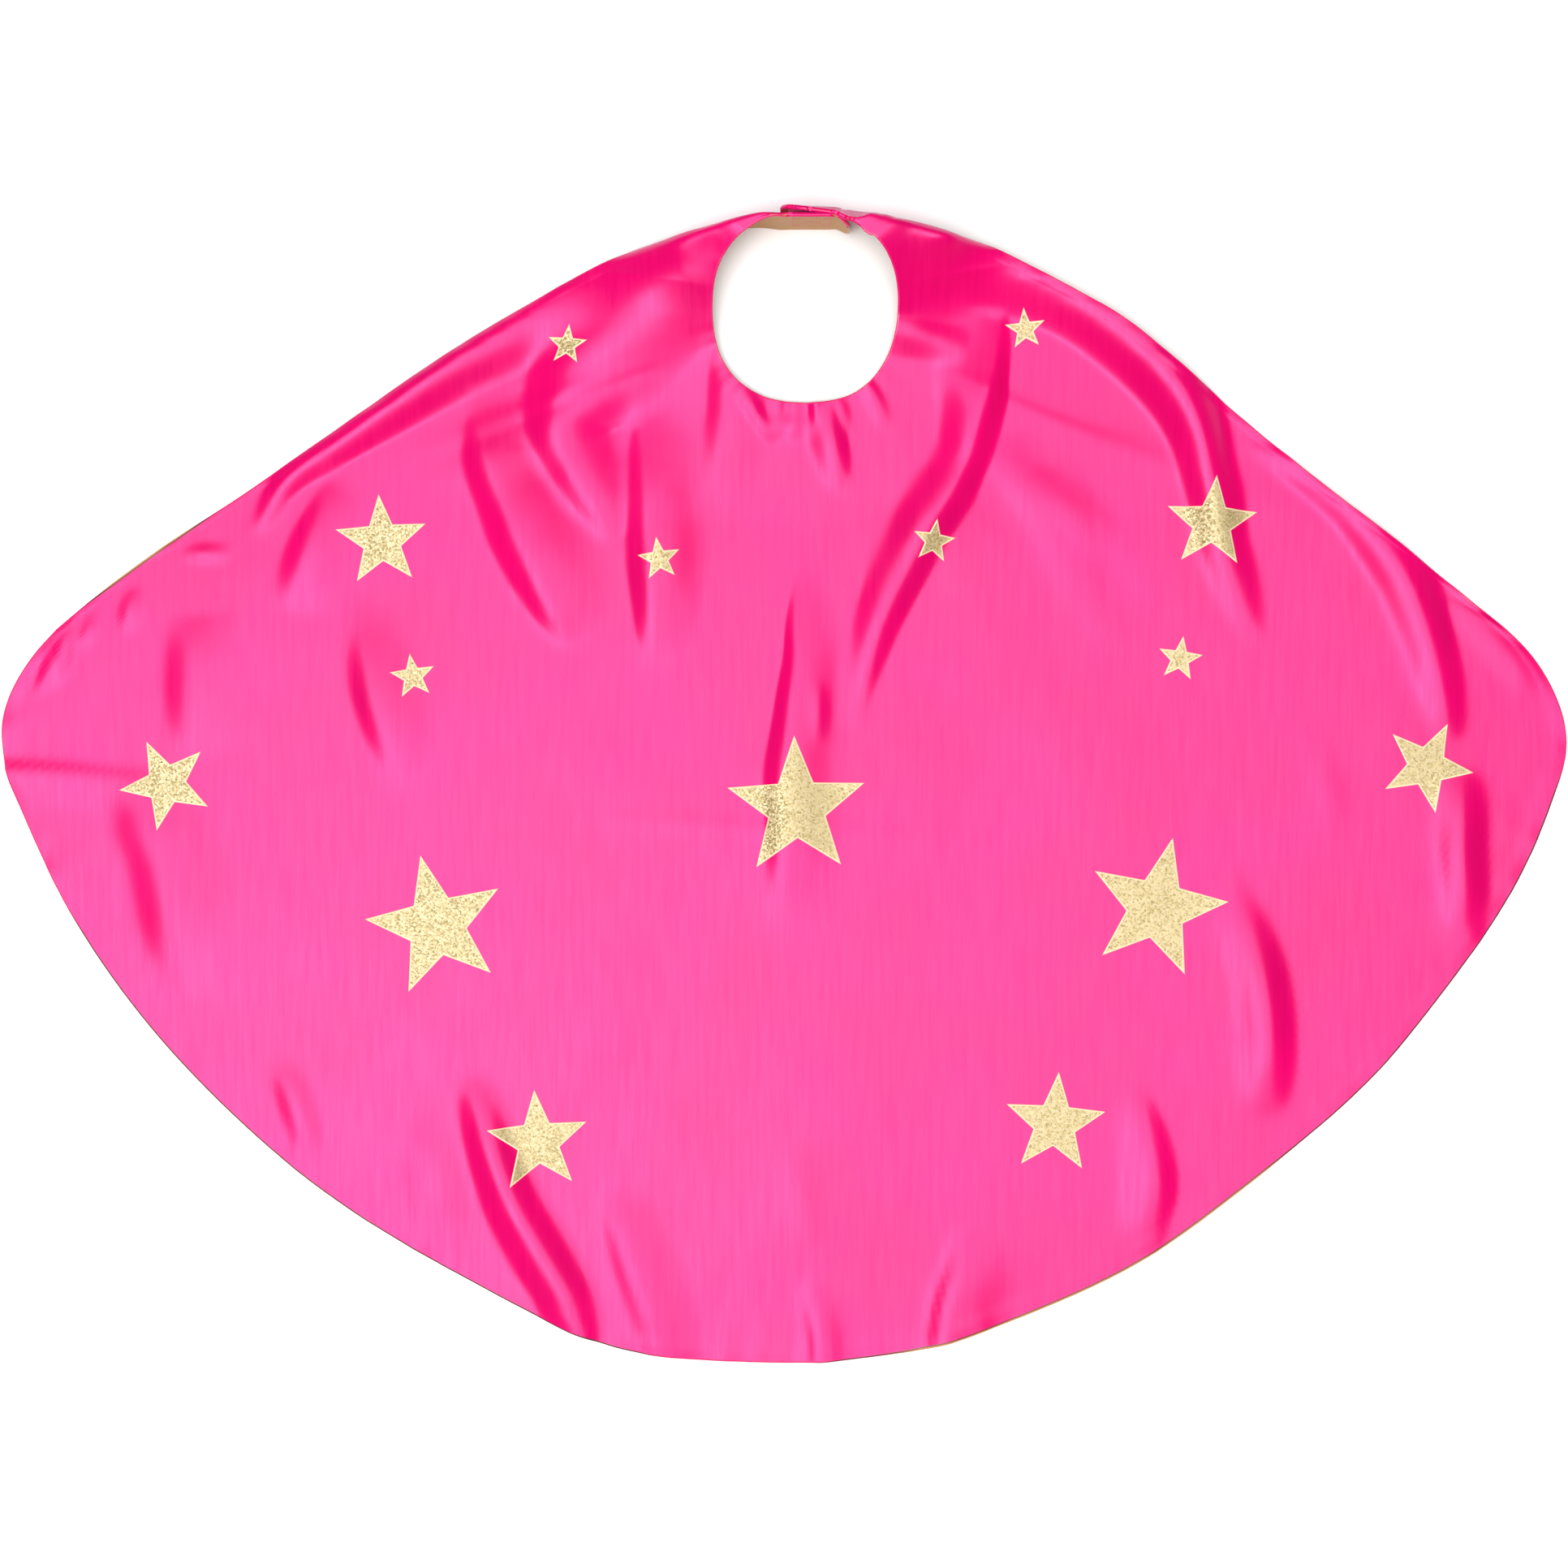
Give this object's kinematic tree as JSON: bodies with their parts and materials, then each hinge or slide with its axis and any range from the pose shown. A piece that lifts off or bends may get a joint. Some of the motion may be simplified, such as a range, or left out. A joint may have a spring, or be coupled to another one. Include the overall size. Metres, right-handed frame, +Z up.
{
  "type": "superhero cape",
  "caption": "Child's reversible satin cape lying flat: bright pink shell with glitter stars, gold lining, round neck opening and overlapping closure tabs.",
  "frame": {"origin": "centre of the cape's box in plan, at the surface that it lies on", "axes": "+X across the cape towards the right side corner, +Y from the hem to the neck tabs, +Z up from the surface"},
  "size_m": [0.944, 0.6908, 0.0452],
  "materials": {
    "shell_satin": "satin",
    "lining_satin": "satin",
    "glitter_film": "satin",
    "closure_tape": "matte",
    "thread": "matte"
  },
  "bodies": {
    "main_panel": {"main_lining": "lining_satin", "main_satin": "shell_satin", "outer_edge_seam": "shell_satin", "neck_edge_seam": "shell_satin", "star_shoulder_left": "glitter_film", "star_shoulder_right": "glitter_film", "star_upper_side_left": "glitter_film", "star_upper_side_right": "glitter_film", "star_upper_inner_left": "glitter_film", "star_upper_inner_right": "glitter_film", "star_middle_left": "glitter_film", "star_middle_right": "glitter_film", "star_side_left": "glitter_film", "star_side_right": "glitter_film", "star_lower_side_left": "glitter_film", "star_lower_side_right": "glitter_film", "star_hem_left": "glitter_film", "star_hem_right": "glitter_film", "star_centre": "glitter_film"},
    "inner_tab": {"inner_tab_lining": "lining_satin", "inner_tab_satin": "shell_satin", "inner_tab_edge_seam": "shell_satin", "loop_patch": "closure_tape", "loop_patch_stitches": "thread"},
    "outer_tab": {"outer_tab_lining": "lining_satin", "outer_tab_satin": "shell_satin", "outer_tab_edge_seam": "shell_satin", "hook_patch": "closure_tape", "hook_patch_stitches": "thread"}
  },
  "joints": [
    {"name": "outer_tab_open", "type": "hinge", "parent": "main_panel", "child": "outer_tab", "pos_m": [0.06128, 0.33217, 0], "axis": [0, 0, -1], "range_deg": [0, 110]},
    {"name": "inner_tab_fold", "type": "hinge", "parent": "main_panel", "child": "inner_tab", "pos_m": [-0.02358, 0.32945, 0], "axis": [0, 0, -1], "range_deg": [0, 60]}
  ]
}
